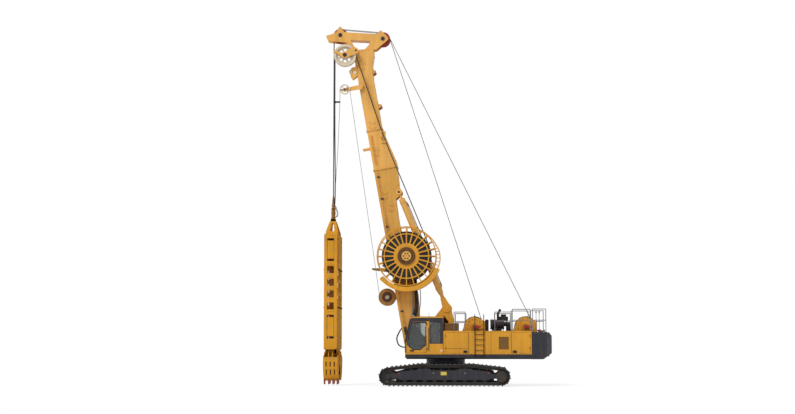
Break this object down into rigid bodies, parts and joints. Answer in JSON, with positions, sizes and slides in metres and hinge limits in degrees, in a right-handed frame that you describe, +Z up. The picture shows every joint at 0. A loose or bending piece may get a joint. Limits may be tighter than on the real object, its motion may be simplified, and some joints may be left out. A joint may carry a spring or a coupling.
{
  "type": "diaphragm wall grab",
  "caption": "Crawler-mounted diaphragm wall grab with a luffing boom, hose reel, winches and a rope-hung clamshell grab in a tall guide frame.",
  "frame": {"origin": "on the ground under the middle of the bounding box", "axes": "+Z up, -X from the tail towards the grab, +Y to the driver's right"},
  "size_m": [11.055, 4.4, 17.82],
  "materials": {
    "body_yellow": "semi-gloss paint, weathered",
    "boom_yellow": "semi-gloss paint, weathered",
    "dark_grey": "satin paint",
    "track_steel": "worn dark steel",
    "black": "satin black",
    "red": "semi-gloss paint",
    "cream": "matt paint",
    "steel": "greased steel",
    "rod_chrome": "polished",
    "hose": "matt rubber",
    "tooth_red": "rusted casting",
    "glass": "tinted",
    "seat": "woven",
    "lamp": "clear lens"
  },
  "bodies": {
    "undercarriage": {"carbody": "dark_grey", "slew_ring": "dark_grey", "track_frame_left": "dark_grey", "track_frame_right": "dark_grey", "running_gear_left": "dark_grey", "running_gear_right": "dark_grey", "track_left": "track_steel", "track_right": "track_steel"},
    "upper": {"slewing_frame": "dark_grey", "boom_brackets": "body_yellow", "cab_shell": "body_yellow", "cab_glass": "glass", "cab_interior": "seat", "house_left": "body_yellow", "house_right": "body_yellow", "counterweight": "dark_grey", "engine": "black", "oil_cooler": "black", "side_tank": "body_yellow", "handrails_left": "black", "handrails_right": "black", "ladder": "black", "work_lamps": "lamp", "winch_frames": "body_yellow"},
    "cab_door": {"cab_door": "body_yellow", "cab_door_glass": "glass"},
    "house_door_front_left": {"house_door_front_left": "body_yellow"},
    "house_door_rear_left": {"house_door_rear_left": "body_yellow"},
    "house_door_front_right": {"house_door_front_right": "body_yellow"},
    "house_door_rear_right": {"house_door_rear_right": "body_yellow"},
    "winch_drum_front": {"winch_drum_front": "steel"},
    "winch_drum_rear": {"winch_drum_rear": "steel"},
    "boom": {"boom_lower": "boom_yellow", "boom_middle": "boom_yellow", "boom_upper": "boom_yellow", "boom_head": "boom_yellow", "boom_fittings": "body_yellow", "reel_guard": "body_yellow"},
    "sheaves_front": {"sheaves_front": "red"},
    "sheaves_rear": {"sheaves_rear": "red"},
    "hose_sheave": {"hose_sheave": "cream"},
    "guide_wheel": {"guide_wheel": "steel"},
    "hose_reel": {"hose_reel": "body_yellow", "hose_coil": "hose"},
    "cable_reel": {"cable_reel": "body_yellow"},
    "luff_barrel": {"luff_barrels": "boom_yellow"},
    "luff_rod": {"luff_rods": "rod_chrome"},
    "ropes": {"hoist_ropes": "steel"},
    "suspension": {"grab_suspension": "black"},
    "grab": {"grab_frame": "body_yellow", "grab_head": "body_yellow", "steering_plates": "body_yellow", "jaw_cylinder": "body_yellow"},
    "crosshead": {"crosshead": "black"},
    "link_near": {"link_near": "black"},
    "link_far": {"link_far": "black"},
    "jaw_near": {"jaw_near": "body_yellow", "teeth_near": "tooth_red"},
    "jaw_far": {"jaw_far": "body_yellow", "teeth_far": "tooth_red"}
  },
  "joints": [
    {"name": "slew", "type": "hinge", "parent": "undercarriage", "child": "upper", "pos_m": [0.4075, 0, 1.2], "axis": [0, 0, 1], "continuous": true},
    {"name": "boom_luff", "type": "hinge", "parent": "upper", "child": "boom", "pos_m": [-1.1925, 0, 2.15], "axis": [0, -1, 0], "range_deg": [-5, 15]},
    {"name": "luff_barrel_swing", "type": "hinge", "parent": "upper", "child": "luff_barrel", "pos_m": [0.4825, 0, 3.75], "axis": [0, -1, 0], "range_deg": [-7, 18]},
    {"name": "luff_rod_slide", "type": "slide", "parent": "luff_barrel", "child": "luff_rod", "axis": [-0.3797, 0, 0.9251], "range_m": [-0.25, 0.65]},
    {"name": "grab_plumb", "type": "hinge", "parent": "boom", "child": "ropes", "pos_m": [-4.8075, 0, 17.405], "axis": [0, -1, 0], "range_deg": [-15, 5]},
    {"name": "grab_hoist", "type": "slide", "parent": "ropes", "child": "suspension", "axis": [0, 0, 1], "range_m": [0, 3.8], "deforming": ["hoist_ropes"]},
    {"name": "grab_turn", "type": "hinge", "parent": "suspension", "child": "grab", "pos_m": [-5.1425, 0, 8.62], "axis": [0, 0, 1], "range_deg": [0, 180]},
    {"name": "jaw_near_swing", "type": "hinge", "parent": "grab", "child": "jaw_near", "pos_m": [-5.1425, -0.35, 1.51], "axis": [1, 0, 0], "range_deg": [-25, 30]},
    {"name": "jaw_far_swing", "type": "hinge", "parent": "grab", "child": "jaw_far", "pos_m": [-5.1425, 0.35, 1.51], "axis": [-1, 0, 0], "range_deg": [-25, 30]},
    {"name": "crosshead_slide", "type": "slide", "parent": "grab", "child": "crosshead", "axis": [0, 0, 1], "range_m": [-0.36, 0.32]},
    {"name": "link_near_swing", "type": "hinge", "parent": "crosshead", "child": "link_near", "pos_m": [-5.1425, -0.14, 3.07858], "axis": [1, 0, 0], "range_deg": [-6, 6]},
    {"name": "link_far_swing", "type": "hinge", "parent": "crosshead", "child": "link_far", "pos_m": [-5.1425, 0.14, 3.07858], "axis": [-1, 0, 0], "range_deg": [-6, 6]},
    {"name": "cab_door_hinge", "type": "hinge", "parent": "upper", "child": "cab_door", "pos_m": [-0.4525, -1.6153, 2.3], "axis": [0, 0, 1], "range_deg": [0, 85]},
    {"name": "house_door_front_left_hinge", "type": "hinge", "parent": "upper", "child": "house_door_front_left", "pos_m": [0.4275, -1.6153, 2.065], "axis": [0, 0, -1], "range_deg": [0, 100]},
    {"name": "house_door_rear_left_hinge", "type": "hinge", "parent": "upper", "child": "house_door_rear_left", "pos_m": [4.4975, -1.6153, 2.065], "axis": [0, 0, 1], "range_deg": [0, 100]},
    {"name": "house_door_front_right_hinge", "type": "hinge", "parent": "upper", "child": "house_door_front_right", "pos_m": [0.4275, 1.6153, 2.065], "axis": [0, 0, 1], "range_deg": [0, 100]},
    {"name": "house_door_rear_right_hinge", "type": "hinge", "parent": "upper", "child": "house_door_rear_right", "pos_m": [4.4975, 1.6153, 2.065], "axis": [0, 0, -1], "range_deg": [0, 100]},
    {"name": "winch_front_turn", "type": "hinge", "parent": "upper", "child": "winch_drum_front", "pos_m": [1.8275, 0, 2.83], "axis": [0, 1, 0], "range_deg": [0, 540]},
    {"name": "winch_rear_turn", "type": "hinge", "parent": "upper", "child": "winch_drum_rear", "pos_m": [4.2875, 0, 2.83], "axis": [0, 1, 0], "range_deg": [0, 540]},
    {"name": "sheaves_front_turn", "type": "hinge", "parent": "boom", "child": "sheaves_front", "pos_m": [-4.8075, 0, 17.405], "axis": [0, 1, 0], "range_deg": [0, 660]},
    {"name": "sheaves_rear_turn", "type": "hinge", "parent": "boom", "child": "sheaves_rear", "pos_m": [-2.6725, 0, 17.195], "axis": [0, 1, 0], "range_deg": [0, 660]},
    {"name": "hose_sheave_turn", "type": "hinge", "parent": "boom", "child": "hose_sheave", "pos_m": [-4.5225, -0.65, 16.28], "axis": [0, 1, 0], "range_deg": [0, 450]},
    {"name": "guide_wheel_turn", "type": "hinge", "parent": "boom", "child": "guide_wheel", "pos_m": [-4.5325, -0.645, 14.58], "axis": [0, 1, 0], "range_deg": [0, 890]},
    {"name": "hose_reel_turn", "type": "hinge", "parent": "boom", "child": "hose_reel", "pos_m": [-1.4425, -0.94, 6.25], "axis": [0, 1, 0], "range_deg": [0, 190]},
    {"name": "cable_reel_turn", "type": "hinge", "parent": "boom", "child": "cable_reel", "pos_m": [-2.4425, -0.18, 4.3], "axis": [0, 1, 0], "range_deg": [0, 640]}
  ],
  "couplings": [
    {"joint": "luff_barrel_swing", "follows": "boom_luff", "ratio": 1.098},
    {"joint": "luff_rod_slide", "follows": "boom_luff", "m_per_rad": 2.2},
    {"joint": "grab_plumb", "follows": "boom_luff", "ratio": -1},
    {"joint": "jaw_far_swing", "follows": "jaw_near_swing", "ratio": 1},
    {"joint": "crosshead_slide", "follows": "jaw_near_swing", "m_per_rad": -0.596},
    {"joint": "link_near_swing", "follows": "jaw_near_swing", "ratio": -0.09},
    {"joint": "link_far_swing", "follows": "jaw_near_swing", "ratio": -0.09},
    {"joint": "winch_front_turn", "follows": "grab_hoist", "rad_per_m": 2.4038},
    {"joint": "winch_rear_turn", "follows": "grab_hoist", "rad_per_m": 2.4038},
    {"joint": "sheaves_front_turn", "follows": "grab_hoist", "rad_per_m": 2.9851},
    {"joint": "sheaves_rear_turn", "follows": "grab_hoist", "rad_per_m": 2.9851},
    {"joint": "hose_sheave_turn", "follows": "grab_hoist", "rad_per_m": 2},
    {"joint": "guide_wheel_turn", "follows": "grab_hoist", "rad_per_m": 4},
    {"joint": "hose_reel_turn", "follows": "grab_hoist", "rad_per_m": 0.81301},
    {"joint": "cable_reel_turn", "follows": "grab_hoist", "rad_per_m": 2.8571}
  ]
}
